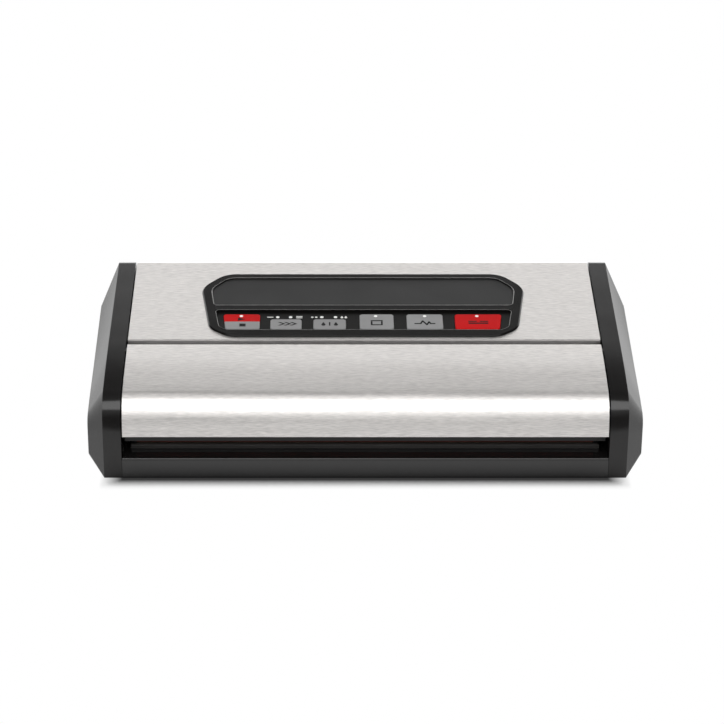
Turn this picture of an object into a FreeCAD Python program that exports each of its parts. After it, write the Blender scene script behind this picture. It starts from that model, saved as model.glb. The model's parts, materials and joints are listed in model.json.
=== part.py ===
import FreeCAD, Part
import math
import os
import Sketcher

# Frame: X to the right, Y to the back, Z up, millimetres.
# The origin is the middle of the footprint, on the surface that the feet stand on.

Vector = FreeCAD.Vector
doc = FreeCAD.newDocument("vacuum_sealer")
sheet = doc.addObject("Spreadsheet::Sheet", "Dim")
subparts = []


# Sizes that remember the sheet formula they come from

def formula_of(value):
    return value.formula if isinstance(value, Size) else repr(float(value))


class Size(float):
    """A number together with the sheet formula that gives it."""

    def __new__(cls, value, formula):
        size = float.__new__(cls, value)
        size.formula = formula
        return size

    def joined(self, value, first, sign, second):
        return Size(value, "(" + formula_of(first) + " " + sign + " " + formula_of(second) + ")")

    def __add__(self, other):
        return self.joined(float(self) + float(other), self, "+", other)

    def __radd__(self, other):
        return self.joined(float(other) + float(self), other, "+", self)

    def __sub__(self, other):
        return self.joined(float(self) - float(other), self, "-", other)

    def __rsub__(self, other):
        return self.joined(float(other) - float(self), other, "-", self)

    def __mul__(self, other):
        return self.joined(float(self) * float(other), self, "*", other)

    def __rmul__(self, other):
        return self.joined(float(other) * float(self), other, "*", self)

    def __truediv__(self, other):
        return self.joined(float(self) / float(other), self, "/", other)

    def __neg__(self):
        return Size(-float(self), "(-1 * " + self.formula + ")")


def tangent(angle):
    return Size(math.tan(math.radians(angle)), "tan(" + formula_of(angle) + " * 1 deg)")


def dimension(name, value):
    row = len(dimension.names) + 1
    dimension.names.append(name)
    sheet.set("A" + str(row), name)
    sheet.set("B" + str(row), str(value))
    sheet.setAlias("B" + str(row), name)
    return Size(value, "Dim." + name)


dimension.names = []

# Driving dimensions: the whole appliance
width = dimension("total_width", 380.0)
depth = dimension("total_depth", 182.0)
foot_height = dimension("foot_height", 2.0)
wall = dimension("wall", 2.5)
sheet_gauge = dimension("steel_gauge", 0.8)
gap = dimension("part_gap", 0.3)

# Driving dimensions: the side profile of lid and end cheeks
fold_height = dimension("fold_height", 36.8)
hem_height = dimension("hem_height", 33.2)
nose_setback = dimension("nose_setback", 2.4)
nose_height = dimension("nose_height", 58.5)
nose_radius = dimension("nose_radius", 19.0)
crown_rise = dimension("crown_rise", 1.5)
crown_radius = dimension("crown_radius", 400.0)
seam_setback = dimension("seam_setback", 72.0)
seam_height = dimension("seam_height", 73.4)
panel_slope = dimension("panel_slope", 9.0)
panel_drop = dimension("panel_drop", 1.0)
front_bottom_radius = dimension("front_bottom_radius", 1.2)
rear_bottom_radius = dimension("rear_bottom_radius", 4.0)
rear_top_radius = dimension("rear_top_radius", 6.0)

# Driving dimensions: the end cheeks
bay_width = dimension("bay_width", 332.4)
steel_width = dimension("steel_width", 330.6)
band_width = dimension("band_width", 12.3)
crest_front = dimension("crest_front_inset", 14.0)
crest_rear = dimension("crest_rear_inset", 32.4)
crest_rear_height = dimension("crest_rear_height", 69.0)
crest_nose_height = dimension("crest_nose_height", 41.0)
crest_bottom = dimension("crest_bottom", 12.5)
crest_crown_rise = dimension("crest_crown_rise", 0.9)
crest_crown_radius = dimension("crest_crown_radius", 250.0)

# Driving dimensions: the bag mouth, seal bar and vacuum chamber
sill_height = dimension("sill_height", 17.2)
deck_plate = dimension("deck_plate", 3.7)
seal_bar_setback = dimension("seal_bar_setback", 16.0)
seal_bar_depth = dimension("seal_bar_depth", 10.0)
seal_bar_height = dimension("seal_bar_height", 20.2)
seal_length = dimension("seal_length", 308.0)
gasket_length = dimension("gasket_length", 312.0)
gasket_front = dimension("gasket_front", 27.5)
gasket_rear = dimension("gasket_rear", 62.0)
gasket_band = dimension("gasket_band", 4.3)
gasket_split = dimension("gasket_split", 21.0)
trough_floor = dimension("trough_floor", 12.5)
lid_bottom = dimension("lid_bottom", 24.6)
lid_recess = dimension("lid_recess_roof", 36.0)

# Driving dimensions: the hinge, the releases and the keys
hinge_drop = dimension("hinge_drop", 4.05)
pin_radius = dimension("pin_radius", 1.7)
running_gap = dimension("running_gap", 0.05)
button_length = dimension("button_length", 22.0)
button_height = dimension("button_height", 11.0)
button_setback = dimension("button_setback", 34.0)
button_level = dimension("button_level", 30.0)
button_depth = dimension("button_depth", 12.0)
key_travel_room = dimension("key_travel_room", 0.8)
dot_radius = dimension("dot_radius", 1.25)

doc.recompute()

# Places that follow from the driving dimensions
half_width = width / 2
front = -depth / 2
rear = depth / 2
floor = foot_height
bay_half = bay_width / 2
steel_half = steel_width / 2
band_half = bay_half + band_width
nose_y = front + nose_setback
seam_y = front + seam_setback
crown_y = (seam_y + nose_y) / 2
crown_height = (seam_height + nose_height) / 2 + crown_rise
rear_height = seam_height + (rear - seam_y) * tangent(panel_slope)


# Document helpers

def bind(thing, field, value):
    thing.setExpression(field, formula_of(value))


def new_body(label):
    body = doc.addObject("PartDesign::Body", label)
    body.Label = label
    subparts.append(body)
    return body


def origin_plane(body, role):
    return [item for item in body.Origin.OriginFeatures if item.Role == role][0]


def sketch_on(body, role, place):
    """A sketch parallel to an origin plane, at a place along that plane's axis."""
    sketch = body.newObject("Sketcher::SketchObject", "Outline")
    sketch.AttachmentSupport = (origin_plane(body, role), [""])
    sketch.MapMode = "FlatFace"
    along_normal = -1.0 * place if role == "XZ_Plane" else place
    sketch.AttachmentOffset = FreeCAD.Placement(Vector(0, 0, float(along_normal)), FreeCAD.Rotation())
    bind(sketch, "AttachmentOffset.Base.z", along_normal)
    return sketch


def fix(sketch, kind, geometry, point, value):
    index = sketch.addConstraint(Sketcher.Constraint(kind, -1, 1, geometry, point, float(value)))
    bind(sketch, "Constraints[" + str(index) + "]", value)


def corner_parts(corners, index):
    """Where a rounded corner's arc starts, ends and has its centre."""
    before = corners[index - 1]
    here = corners[index]
    after = corners[(index + 1) % len(corners)]
    middle = Vector(here[0], here[1], 0)
    back = (Vector(before[0], before[1], 0) - middle).normalize()
    ahead = (Vector(after[0], after[1], 0) - middle).normalize()
    half_angle = back.getAngle(ahead) / 2
    reach = float(here[2]) / math.tan(half_angle)
    centre = middle + (back + ahead).normalize() * (float(here[2]) / math.sin(half_angle))
    return middle + back * reach, middle + ahead * reach, centre


def outline(sketch, corners):
    """A closed outline; a corner is (across, up) or (across, up, radius)."""
    count = len(corners)
    starts = []
    ends = []
    for index, corner in enumerate(corners):
        if len(corner) == 3:
            start, end, centre = corner_parts(corners, index)
        else:
            start = end = Vector(float(corner[0]), float(corner[1]), 0)
        starts.append(start)
        ends.append(end)
    lines = []
    for index in range(count):
        lines.append(sketch.addGeometry(Part.LineSegment(ends[index], starts[(index + 1) % count])))
    for index, corner in enumerate(corners):
        line_in = lines[index - 1]
        line_out = lines[index]
        if len(corner) == 2:
            sketch.addConstraint(Sketcher.Constraint("Coincident", line_in, 2, line_out, 1))
            fix(sketch, "DistanceX", line_out, 1, corner[0])
            fix(sketch, "DistanceY", line_out, 1, corner[1])
            continue
        start, end, centre = corner_parts(corners, index)
        turns_left = (start - centre).cross(end - centre).z > 0
        first, last = (1, 2) if turns_left else (2, 1)
        circle = Part.Circle(centre, Vector(0, 0, 1), float(corner[2]))
        from_angle = circle.parameter(start if turns_left else end)
        to_angle = circle.parameter(end if turns_left else start)
        if to_angle < from_angle:
            to_angle += 2 * math.pi
        arc = sketch.addGeometry(Part.ArcOfCircle(circle, from_angle, to_angle))
        sketch.addConstraint(Sketcher.Constraint("Tangent", line_in, 2, arc, first))
        sketch.addConstraint(Sketcher.Constraint("Tangent", line_out, 1, arc, last))
        radius = sketch.addConstraint(Sketcher.Constraint("Radius", arc, float(corner[2])))
        bind(sketch, "Constraints[" + str(radius) + "]", corner[2])
        point = sketch.addGeometry(Part.Point(Vector(float(corner[0]), float(corner[1]), 0)), True)
        fix(sketch, "DistanceX", point, 1, corner[0])
        fix(sketch, "DistanceY", point, 1, corner[1])
        sketch.addConstraint(Sketcher.Constraint("PointOnObject", point, 1, line_in))
        sketch.addConstraint(Sketcher.Constraint("PointOnObject", point, 1, line_out))
    return sketch


def ring(sketch, across, up, radius):
    circle = Part.Circle(Vector(float(across), float(up), 0), Vector(0, 0, 1), float(radius))
    geometry = sketch.addGeometry(circle)
    fix(sketch, "DistanceX", geometry, 3, across)
    fix(sketch, "DistanceY", geometry, 3, up)
    index = sketch.addConstraint(Sketcher.Constraint("Radius", geometry, float(radius)))
    bind(sketch, "Constraints[" + str(index) + "]", radius)
    return sketch


def set_feature(feature, sketch, length, reverse):
    feature.Profile = sketch
    feature.Length = float(length)
    bind(feature, "Length", length)
    feature.Reversed = reverse
    return feature


def grow(body, role, start, end, draw, *shape):
    """Pad an outline or ring from one place to another along the plane's axis."""
    sketch = draw(sketch_on(body, role, start), *shape)
    return set_feature(body.newObject("PartDesign::Pad", "Pad"), sketch, end - start, role == "XZ_Plane")


def cut(body, role, start, end, draw, *shape):
    """Pocket an outline or ring; stops if nothing was cut."""
    doc.recompute()
    before = body.Shape.Volume
    sketch = draw(sketch_on(body, role, start), *shape)
    pocket = body.newObject("PartDesign::Pocket", "Pocket")
    set_feature(pocket, sketch, end - start, role != "XZ_Plane")
    doc.recompute()
    if not body.Shape.Volume < before - 1e-6:
        raise ValueError(body.Label + ": a cut removed nothing")
    return pocket


def rectangle(low_across, high_across, low_up, high_up, *radius):
    return [(low_across, low_up, *radius), (high_across, low_up, *radius),
            (high_across, high_up, *radius), (low_across, high_up, *radius)]


def centred(across, up, length, height, *radius):
    return rectangle(across - length / 2, across + length / 2, up - height / 2, up + height / 2, *radius)


def block(body, x_low, x_high, y_low, y_high, z_low, z_high, *radius):
    return grow(body, "XY_Plane", z_low, z_high, outline, rectangle(x_low, x_high, y_low, y_high, *radius))


def hollow(body, x_low, x_high, y_low, y_high, z_low, z_high, *radius):
    return cut(body, "XY_Plane", z_low, z_high, outline, rectangle(x_low, x_high, y_low, y_high, *radius))


def break_edges(body, kind, size, wanted):
    """Fillet or chamfer the edges of the body so far whose middle point is wanted."""
    doc.recompute()
    tip = body.Tip
    names = []
    for index, edge in enumerate(tip.Shape.Edges):
        middle = edge.valueAt((edge.FirstParameter + edge.LastParameter) / 2)
        if wanted(middle):
            names.append("Edge" + str(index + 1))
    field = "Radius" if kind == "Fillet" else "Size"
    dressing = body.newObject("PartDesign::" + kind, kind)
    dressing.Base = (tip, names)
    setattr(dressing, field, float(size))
    bind(dressing, field, size)
    doc.recompute()
    if not dressing.isValid():
        raise ValueError(body.Label + ": the edges could not be broken")
    return dressing


def top_edges(height):
    return lambda middle: abs(middle.z - height) < 0.01


def inset(path, distance, closed):
    """The path moved to its left by a distance, with its radii made smaller."""
    moved = []
    count = len(path)
    for index, corner in enumerate(path):
        normals = []
        for first, second in ((index - 1, index), (index, index + 1)):
            if closed or (first >= 0 and second < count):
                start = path[first]
                end = path[second % count]
                step = Vector(end[0] - start[0], end[1] - start[1], 0).normalize()
                normals.append(Vector(-step.y, step.x, 0))
        shift = normals[0]
        if len(normals) == 2:
            total = normals[0] + normals[1]
            shift = total.multiply(1 / (1 + normals[0].dot(normals[1])))
        spot = [corner[0] + distance * round(shift.x, 4), corner[1] + distance * round(shift.y, 4)]
        if len(corner) == 3:
            spot.append(corner[2] - distance)
        moved.append(tuple(spot))
    return moved


def strip(path, thickness):
    """The outline of a bent sheet whose outer face follows the path."""
    return list(path) + list(reversed(inset(path, thickness, False)))


def mirrored(body, label):
    """The same piece on the other side of the middle plane."""
    copy = doc.addObject("Part::Mirroring", label)
    copy.Label = label
    copy.Source = body
    copy.Normal = Vector(1, 0, 0)
    subparts.append(copy)
    return copy


def tilt(body, y_place, z_place, angle):
    """Set a body that was drawn flat at a tilt about X."""
    turn = FreeCAD.Rotation(Vector(1, 0, 0), float(angle))
    body.Placement = FreeCAD.Placement(Vector(0, float(y_place), float(z_place)), turn)
    bind(body, "Placement.Base.y", y_place)
    bind(body, "Placement.Base.z", z_place)
    bind(body, "Placement.Rotation.Angle", angle)


# The side profile shared by cheeks, lid and rear housing, drawn in Y and Z

band_profile = [(rear, rear_height, rear_top_radius), (seam_y, seam_height),
                (crown_y, crown_height, crown_radius), (nose_y, nose_height, nose_radius), (front, fold_height),
                (front, floor, front_bottom_radius), (rear, floor, rear_bottom_radius)]
crest_rear_y = rear - crest_rear
crest_y = front + crest_front
crest_rise = (crest_rear_height - crest_nose_height) / (crest_rear_y - crest_y)
crest_crown_height = crest_nose_height + (crown_y - crest_y) * crest_rise + crest_crown_rise
crest_profile = [(crest_rear_y, crest_rear_height, 4.0),
                 (seam_y, crest_nose_height + (seam_y - crest_y) * crest_rise),
                 (crown_y, crest_crown_height, crest_crown_radius),
                 (crest_y, crest_nose_height, 9.0), (crest_y, fold_height - 6.0),
                 (crest_y, crest_bottom, 3.0), (crest_rear_y, crest_bottom, 3.0)]


# The lid's outer line and the hinge axis under its rear edge

lid_drop = 0.4
lid_lip = 1.2
lid_rear = seam_y - 4.2
lid_run = (seam_height - crown_height) / (seam_y - crown_y)
lid_rear_height = seam_height - (seam_y - lid_rear) * lid_run - lid_drop
lid_line = inset(band_profile[1:5] + [(front, hem_height)], lid_drop, False)
lid_path = [(lid_rear, lid_rear_height - lid_lip), (lid_rear, lid_rear_height)] + lid_line[1:]
hinge_inset = 1.4
hinge_y = lid_rear - hinge_inset
hinge_z = lid_rear_height - hinge_drop

# End cheeks: a glossy band that follows the side profile and a bevelled outer cap

button_y = front + button_setback
button_base = half_width - button_depth
button_corner = 2.5
plunger_length = 9.0
plunger_height = 5.0
plunger_room = 1.5
pocket_end = bay_half + 2.6
pin_depth = 8.0
cavity_front = seam_y + 7.0
cavity_split = bay_half + 9.0


def make_cheek():
    body = new_body("right_cheek")
    grow(body, "YZ_Plane", bay_half, band_half, outline, band_profile)
    loft = body.newObject("PartDesign::AdditiveLoft", "Bevel")
    loft.Profile = outline(sketch_on(body, "YZ_Plane", band_half), band_profile)
    loft.Sections = [outline(sketch_on(body, "YZ_Plane", half_width), crest_profile)]
    loft.Ruled = True
    doc.recompute()
    cavity_rear = rear - wall * 1.2
    roof_front = seam_height + (cavity_front - seam_y) * tangent(panel_slope) - wall * 1.3
    cavity = [(cavity_rear, rear_height - wall * 1.9, 3.0), (cavity_front, roof_front),
              (cavity_front, floor + wall), (cavity_rear, floor + wall, 2.0)]
    cut(body, "YZ_Plane", bay_half, cavity_split, outline, cavity)
    cap_bottom = crest_bottom + 3.0
    cap_cavity = [(crest_rear_y - 4.0, crest_rear_height - 6.0), (cavity_front, crest_nose_height + 6.0),
                  (cavity_front, cap_bottom), (crest_rear_y - 2.0, cap_bottom)]
    cut(body, "YZ_Plane", cavity_split, half_width - wall, outline, cap_cavity)
    pocket = centred(button_y, button_level, button_length + gap * 2, button_height + gap * 2,
                     button_corner + gap)
    cut(body, "YZ_Plane", pocket_end, half_width, outline, pocket)
    window = centred(button_y, button_level, plunger_length + plunger_room, plunger_height + plunger_room)
    cut(body, "YZ_Plane", bay_half, pocket_end, outline, window)
    cut(body, "YZ_Plane", bay_half, bay_half + pin_depth, ring, hinge_y, hinge_z, pin_radius)
    return body


right_cheek = make_cheek()
mirrored(right_cheek, "left_cheek")

# Base tub: floor, low front wall and rear wall in one moulding, open at the top

tub_half = bay_half - 0.2
tub_front_top = sill_height - 1.5
tub_rear_top = 32.0
deck_underside = sill_height - deck_plate
gland_x = 128.0
gland_half = 7.0
gland_flange = 2.0
gland_flange_gauge = 3.0
gland_bore = 3.6
gland_bottom = 20.0
boss_x = 156.0
boss_setbacks = (14.0, 62.0)
boss_radius = 4.0
screw_radius = 3.0
screw_seat = floor + 1.8
screw_head = 1.2
rib_places = (-96.0, -48.0, 0.0, 48.0, 96.0)
rib_half = 0.8
rib_end = front + 20.0
vent_places = (-120.0, -110.0, -100.0, -90.0, 60.0, 70.0, 80.0, 90.0, 100.0)
vent_half = 1.5
vent_low = 15.0
vent_high = 60.0


def make_tub():
    body = new_body("base_tub")
    section = [(rear, tub_rear_top), (rear - wall, tub_rear_top), (rear - wall, floor + wall, 2.0),
               (front + wall, floor + wall, 1.0), (front + wall, tub_front_top), (front, tub_front_top),
               (front, floor, front_bottom_radius), (rear, floor, rear_bottom_radius)]
    grow(body, "YZ_Plane", -tub_half, tub_half, outline, section)
    for side in (-1, 1):
        inner = side * (tub_half - wall)
        outer = side * tub_half
        low, high = (inner, outer) if side > 0 else (outer, inner)
        block(body, low, high, front + wall, rear - wall, floor + wall, deck_underside)
        for setback in boss_setbacks:
            boss = (side * boss_x, front + setback)
            grow(body, "XY_Plane", floor + wall, deck_underside, ring, *boss, boss_radius)
            cut(body, "XY_Plane", floor, screw_seat, ring, *boss, screw_radius + gap)
    for x_place in rib_places:
        rib = rectangle(x_place - rib_half, x_place + rib_half, front + wall, rib_end)
        grow(body, "XY_Plane", floor + wall, deck_underside, outline, rib)
    for x_place in vent_places:
        hollow(body, x_place - vent_half, x_place + vent_half, vent_low, vent_high, floor, floor + wall)
    hollow(body, gland_x - gland_half, gland_x + gland_half, rear - wall, rear, gland_bottom, tub_rear_top)
    return body


make_tub()

# Chamber deck: the sill under the bag mouth, seats for seal bar and gasket, and the vacuum trough

deck_half = bay_half - 0.4
deck_rear = seam_y + 3.4
seal_front = front + seal_bar_setback
seal_rear = seal_front + seal_bar_depth
gasket_low = front + gasket_front
gasket_high = front + gasket_rear
gasket_half = gasket_length / 2
trough_half = gasket_half - gasket_band - 2.5
trough_low = gasket_low + gasket_band + 2.2
trough_high = gasket_high - gasket_band - 2.2
gasket_seat = sill_height - 2.0
port_x = -61.0
port_y = (trough_low + trough_high) / 2
port_radius = 3.4
port_height = 7.6
port_bore = 2.0
port_foot = port_height - 2.4
port_flange = 1.2
port_flange_width = 2.0
nozzle_radius = 1.8
nozzle_bore = 1.0
nozzle_end = port_y + 14.0
trough_skin = 1.7
seat_gap = 0.2
bar_half = 161.0
bar_seat = sill_height - 2.7
drip_low = front + 10.0
drip_high = front + 15.0
drip_floor = sill_height - 1.5
gasket_outer_corner = 8.0
gasket_inner_corner = 4.0


def gasket_ring(body, bottom, top, clearance):
    block(body, -gasket_half - clearance, gasket_half + clearance, gasket_low - clearance,
          gasket_high + clearance, bottom, top, gasket_outer_corner)
    hollow(body, -gasket_half + gasket_band + clearance, gasket_half - gasket_band - clearance,
           gasket_low + gasket_band + clearance, gasket_high - gasket_band - clearance, bottom, top,
           gasket_inner_corner)


def make_deck():
    body = new_body("chamber_deck")
    block(body, -deck_half, deck_half, front + wall + seat_gap, deck_rear, deck_underside, sill_height)
    block(body, -deck_half, deck_half, front + seat_gap, front + wall + seat_gap, tub_front_top, sill_height)
    block(body, -trough_half - wall, trough_half + wall, trough_low - wall, trough_high + wall,
          trough_floor - trough_skin, deck_underside, 6.0)
    hollow(body, -trough_half, trough_half, trough_low, trough_high, trough_floor, sill_height, 5.0)
    hollow(body, -bar_half, bar_half, drip_low, drip_high, drip_floor, sill_height, 2.0)
    hollow(body, -bar_half - seat_gap, bar_half + seat_gap, seal_front - seat_gap, seal_rear + seat_gap,
           bar_seat, sill_height)
    doc.recompute()
    seat = outline(sketch_on(body, "XY_Plane", gasket_seat),
                   rectangle(-gasket_half - seat_gap, gasket_half + seat_gap,
                             gasket_low - seat_gap, gasket_high + seat_gap, gasket_outer_corner))
    inner = rectangle(-gasket_half + gasket_band + seat_gap, gasket_half - gasket_band - seat_gap,
                      gasket_low + gasket_band + seat_gap, gasket_high - gasket_band - seat_gap,
                      gasket_inner_corner)
    outline(seat, inner)
    set_feature(body.newObject("PartDesign::Pocket", "GasketSeat"), seat, sill_height - gasket_seat, True)
    cut(body, "XY_Plane", trough_floor - trough_skin, trough_floor, ring, port_x, port_y, port_radius)
    break_edges(body, "Fillet", 0.6, lambda middle: abs(middle.y - front - seat_gap) < 0.01
                and abs(middle.z - sill_height) < 0.01)
    return body


make_deck()


def make_ring_gasket(label, bottom, top):
    body = new_body(label)
    gasket_ring(body, bottom, top, 0.0)
    return body


make_ring_gasket("lower_gasket", gasket_seat, gasket_split)

# Seal bar with its heating strip and the non-stick tape over it


def make_seal_bar():
    body = new_body("seal_bar")
    block(body, -bar_half, bar_half, seal_front, seal_rear, bar_seat, seal_bar_height)
    break_edges(body, "Chamfer", 0.8, top_edges(seal_bar_height))


def make_strip(label, length, strip_width, bottom, top):
    body = new_body(label)
    middle = (seal_front + seal_rear) / 2
    block(body, -length / 2, length / 2, middle - strip_width / 2, middle + strip_width / 2, bottom, top)


strip_gauge = 0.2
strip_top = seal_bar_height + strip_gauge
tape_top = strip_top + strip_gauge
tape_length = seal_length + 6.0
make_seal_bar()
make_strip("heating_strip", seal_length, 3.0, seal_bar_height, strip_top)
make_strip("heater_tape", tape_length, 7.0, strip_top, tape_top)


def make_port():
    """An elbow: a flanged tube through the trough floor and a nozzle to the back for the hose."""
    body = new_body("suction_port")
    flange_top = trough_floor + port_flange
    grow(body, "XY_Plane", port_foot, trough_floor, ring, port_x, port_y, port_radius)
    grow(body, "XY_Plane", trough_floor, flange_top, ring, port_x, port_y, port_radius + port_flange_width)
    grow(body, "XZ_Plane", port_y, nozzle_end, ring, port_x, port_height, nozzle_radius)
    cut(body, "XY_Plane", port_height - nozzle_bore, flange_top, ring, port_x, port_y, port_bore)
    cut(body, "XZ_Plane", port_y, nozzle_end, ring, port_x, port_height, nozzle_bore)


make_port()

# Rear cover: the black moulding that carries the rear steel and closes the electronics bay

cover_half = bay_half - 0.6
cover_front = seam_y + 3.5
cover_wall = 2.0
cover_shelf = 79.0
cover_opening = 115.0
cover_corner = 4.5
cover_step = 2.6
opening_front = seam_y + 6.5
opening_rear = rear - 20.0
opening_corner = 8.0
rear_vent_count = 9
rear_vent_pitch = 7.0
rear_vent_x = 57.0
rear_vent_level = 55.0
rear_vent_width = 3.0
rear_vent_height = 18.0


def panel_height(y_place):
    return seam_height + (y_place - seam_y) * tangent(panel_slope) - panel_drop


def make_rear_cover():
    body = new_body("rear_cover")
    top_rear = rear - cover_step
    inner_rear = top_rear - cover_wall
    section = [(top_rear, panel_height(top_rear), cover_corner), (cover_front, panel_height(cover_front)),
               (cover_front, deck_underside), (cover_front + cover_wall, deck_underside),
               (cover_front + cover_wall, panel_height(cover_front + cover_wall) - wall),
               (inner_rear, panel_height(inner_rear) - wall), (inner_rear, cover_shelf - wall),
               (rear - wall, cover_shelf - wall), (rear - wall, tub_rear_top), (rear, tub_rear_top),
               (rear, cover_shelf, 1.5), (top_rear, cover_shelf)]
    grow(body, "YZ_Plane", -cover_half, cover_half, outline, section)
    hollow(body, -cover_opening, cover_opening, opening_front, opening_rear, hinge_z, rear_height,
           opening_corner)
    for number in range(rear_vent_count):
        slot_x = rear_vent_x + number * rear_vent_pitch
        slot = centred(slot_x, rear_vent_level, rear_vent_width, rear_vent_height)
        cut(body, "XZ_Plane", rear - wall, rear, outline, slot)
    return body


make_rear_cover()

# Rear steel panel and everything on it are drawn flat and set at the panel's slope.
# In that flat frame Y runs up the slope from the seam and Z stands off the panel.

panel_y = seam_y + 1.0
panel_z = panel_height(panel_y)
panel_run = 109.2
lip_depth = 5.0
lip_lean = 2.6
lip_radius = 1.3
rear_fold_depth = 6.0
rear_fold_radius = 5.0
bezel_lap = 3.0
bezel_top = 2.0
steel_top = sheet_gauge
pad_top = 1.4
skirt_bottom = -5.0
flange_bottom = -6.4
flange_width = 2.0
seat_play = 0.2


def on_panel(body):
    tilt(body, panel_y, panel_z, panel_slope)
    return body


bezel_outline = [(116.5, 68.5, 18.0), (100.0, 87.2, 18.0), (-100.0, 87.2, 18.0), (-116.5, 68.5, 18.0),
                 (-109.0, 14.5, 16.0), (-95.0, 3.9, 16.0), (95.0, 3.9, 16.0), (109.0, 14.5, 16.0)]
pad_window = [(109.3, 67.0, 14.0), (97.0, 81.4, 12.0), (-97.0, 81.4, 12.0), (-109.3, 67.0, 14.0),
              (-106.6, 44.0, 3.0), (106.6, 44.0, 3.0)]
key_window = [(105.6, 38.0, 3.0), (-105.6, 38.0, 3.0), (-102.2, 15.4, 6.0), (-97.0, 11.6, 6.0),
              (97.0, 11.6, 6.0), (102.2, 15.4, 6.0)]


def make_rear_steel():
    body = new_body("rear_steel_panel")
    path = [(panel_run, -rear_fold_depth), (panel_run, steel_top, rear_fold_radius),
            (0.0, steel_top, lip_radius), (-lip_lean, -lip_depth)]
    grow(body, "YZ_Plane", -steel_half, steel_half, outline, strip(path, sheet_gauge))
    cut(body, "XY_Plane", 0.0, steel_top, outline, inset(bezel_outline, bezel_lap, True))
    return on_panel(body)


def make_bezel():
    body = new_body("control_bezel")
    grow(body, "XY_Plane", steel_top, bezel_top, outline, bezel_outline)
    break_edges(body, "Chamfer", 0.7, top_edges(bezel_top))
    grow(body, "XY_Plane", skirt_bottom, steel_top, outline, inset(bezel_outline, bezel_lap + seat_play, True))
    cut(body, "XY_Plane", skirt_bottom, bezel_top, outline, pad_window)
    cut(body, "XY_Plane", skirt_bottom, bezel_top, outline, key_window)
    return on_panel(body)


def make_pad():
    body = new_body("panel_pad")
    grow(body, "XY_Plane", skirt_bottom, pad_top, outline, inset(pad_window, seat_play, True))
    grow(body, "XY_Plane", flange_bottom, skirt_bottom, outline, inset(pad_window, -flange_width, True))
    break_edges(body, "Chamfer", 0.5, top_edges(pad_top))
    return on_panel(body)


# Keys: left end, right end and how far up the panel each one reaches

deck_top = 0.6
deck_skin = 2.2
key_top = 1.5
key_bottom = -6.2
key_low = 13.6
key_high = 32.8
key_corner = 2.0
split_corner = 0.5
deck_rim = 1.6
dot_depth = 1.2
dot_stand = 0.1
short_key_high = 26.3
key_split = 23.4
dot_row = 30.1
key_spans = {"key_speed": (-66.0, -43.9, short_key_high), "key_food": (-35.6, -12.6, short_key_high),
             "key_container": (-2.9, 21.2, key_high), "key_pulse": (30.4, 56.0, key_high)}
start_right = -73.4
start_left_low = -97.6
start_left_high = -99.6
start_key = [(start_right, key_low), (start_right, key_high),
             (start_left_high, key_high), (start_left_low, key_low)]
seal_key = [(95.8, key_low), (97.9, key_high), (64.6, key_high), (64.6, key_low)]
key_dots = {"key_start": -86.7, "key_container": 8.5, "key_pulse": 43.3, "key_seal": 80.3}
fixed_dots = (-60.9, -51.8, -29.6, -19.9)


def rounded(corners, radius):
    return [(across, up, radius) for across, up in corners]


def key_outlines():
    shapes = {name: rounded(rectangle(left, right, key_low, high), key_corner)
              for name, (left, right, high) in key_spans.items()}
    shapes["key_start"] = rounded(start_key, key_corner)
    shapes["key_seal"] = rounded(seal_key, key_corner)
    return shapes


def grown(corners, distance):
    """A convex outline moved outward all round, drawn in either turning sense."""
    turning = sum(corners[i - 1][0] * corners[i][1] - corners[i][0] * corners[i - 1][1]
                  for i in range(len(corners)))
    return inset(corners, -distance if turning > 0 else distance, True)


def make_key_deck():
    body = new_body("key_deck")
    grow(body, "XY_Plane", flange_bottom, deck_top, outline, inset(key_window, seat_play, True))
    grow(body, "XY_Plane", flange_bottom, skirt_bottom, outline, inset(key_window, -flange_width, True))
    cut(body, "XY_Plane", flange_bottom, deck_top - deck_skin, outline, inset(key_window, deck_rim, True))
    for shape in key_outlines().values():
        cut(body, "XY_Plane", deck_top - deck_skin, deck_top, outline, grown(shape, gap))
    for dot in fixed_dots:
        cut(body, "XY_Plane", deck_top - deck_skin, deck_top, ring, dot, dot_row, dot_radius)
    return on_panel(body)


def make_cap(label, corners, dot):
    body = new_body(label)
    grow(body, "XY_Plane", key_bottom, key_top, outline, corners)
    break_edges(body, "Chamfer", 0.4, top_edges(key_top))
    if dot is not None:
        cut(body, "XY_Plane", key_top - dot_depth, key_top, ring, dot, dot_row, dot_radius)
    return on_panel(body)


def make_dot(label, across, bottom, top):
    body = new_body(label)
    grow(body, "XY_Plane", bottom, top, ring, across, dot_row, dot_radius)
    return on_panel(body)


def make_keys():
    shapes = key_outlines()
    slant = (start_left_low - start_left_high) / (key_high - key_low)
    split_left = start_left_low - slant * (key_split - key_low)
    split = [(start_right, key_split, split_corner), (split_left, key_split, split_corner)]
    upper = [split[0], (start_right, key_high, key_corner), (start_left_high, key_high, key_corner), split[1]]
    lower = [(start_right, key_low, key_corner), split[0], split[1], (start_left_low, key_low, key_corner)]
    make_cap("key_start", upper, key_dots["key_start"])
    make_cap("key_stop", lower, None)
    for name in ("key_speed", "key_food", "key_container", "key_pulse", "key_seal"):
        make_cap(name, shapes[name], key_dots.get(name))
    for name, across in key_dots.items():
        make_dot(name + "_dot", across, key_top - dot_depth, key_top + dot_stand)
    for number, across in enumerate(fixed_dots):
        make_dot("deck_dot_" + str(number + 1), across, deck_top - deck_skin, deck_top + dot_stand)


make_rear_steel()
make_bezel()
make_pad()
make_key_deck()
make_keys()

# Inside the bay: control board with its key switches, pump, hose, mains transformer and supply board

board_top = -10.8
board_gauge = 1.6
board_half = 103.0
board_low = 9.0
board_high = 41.0
board_post_places = (-90.0, 0.0, 90.0)
board_post_rows = (11.3, 37.6)
switch_side = 6.0
switch_row = 17.0
switch_top = key_bottom - key_travel_room - 0.2


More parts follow.
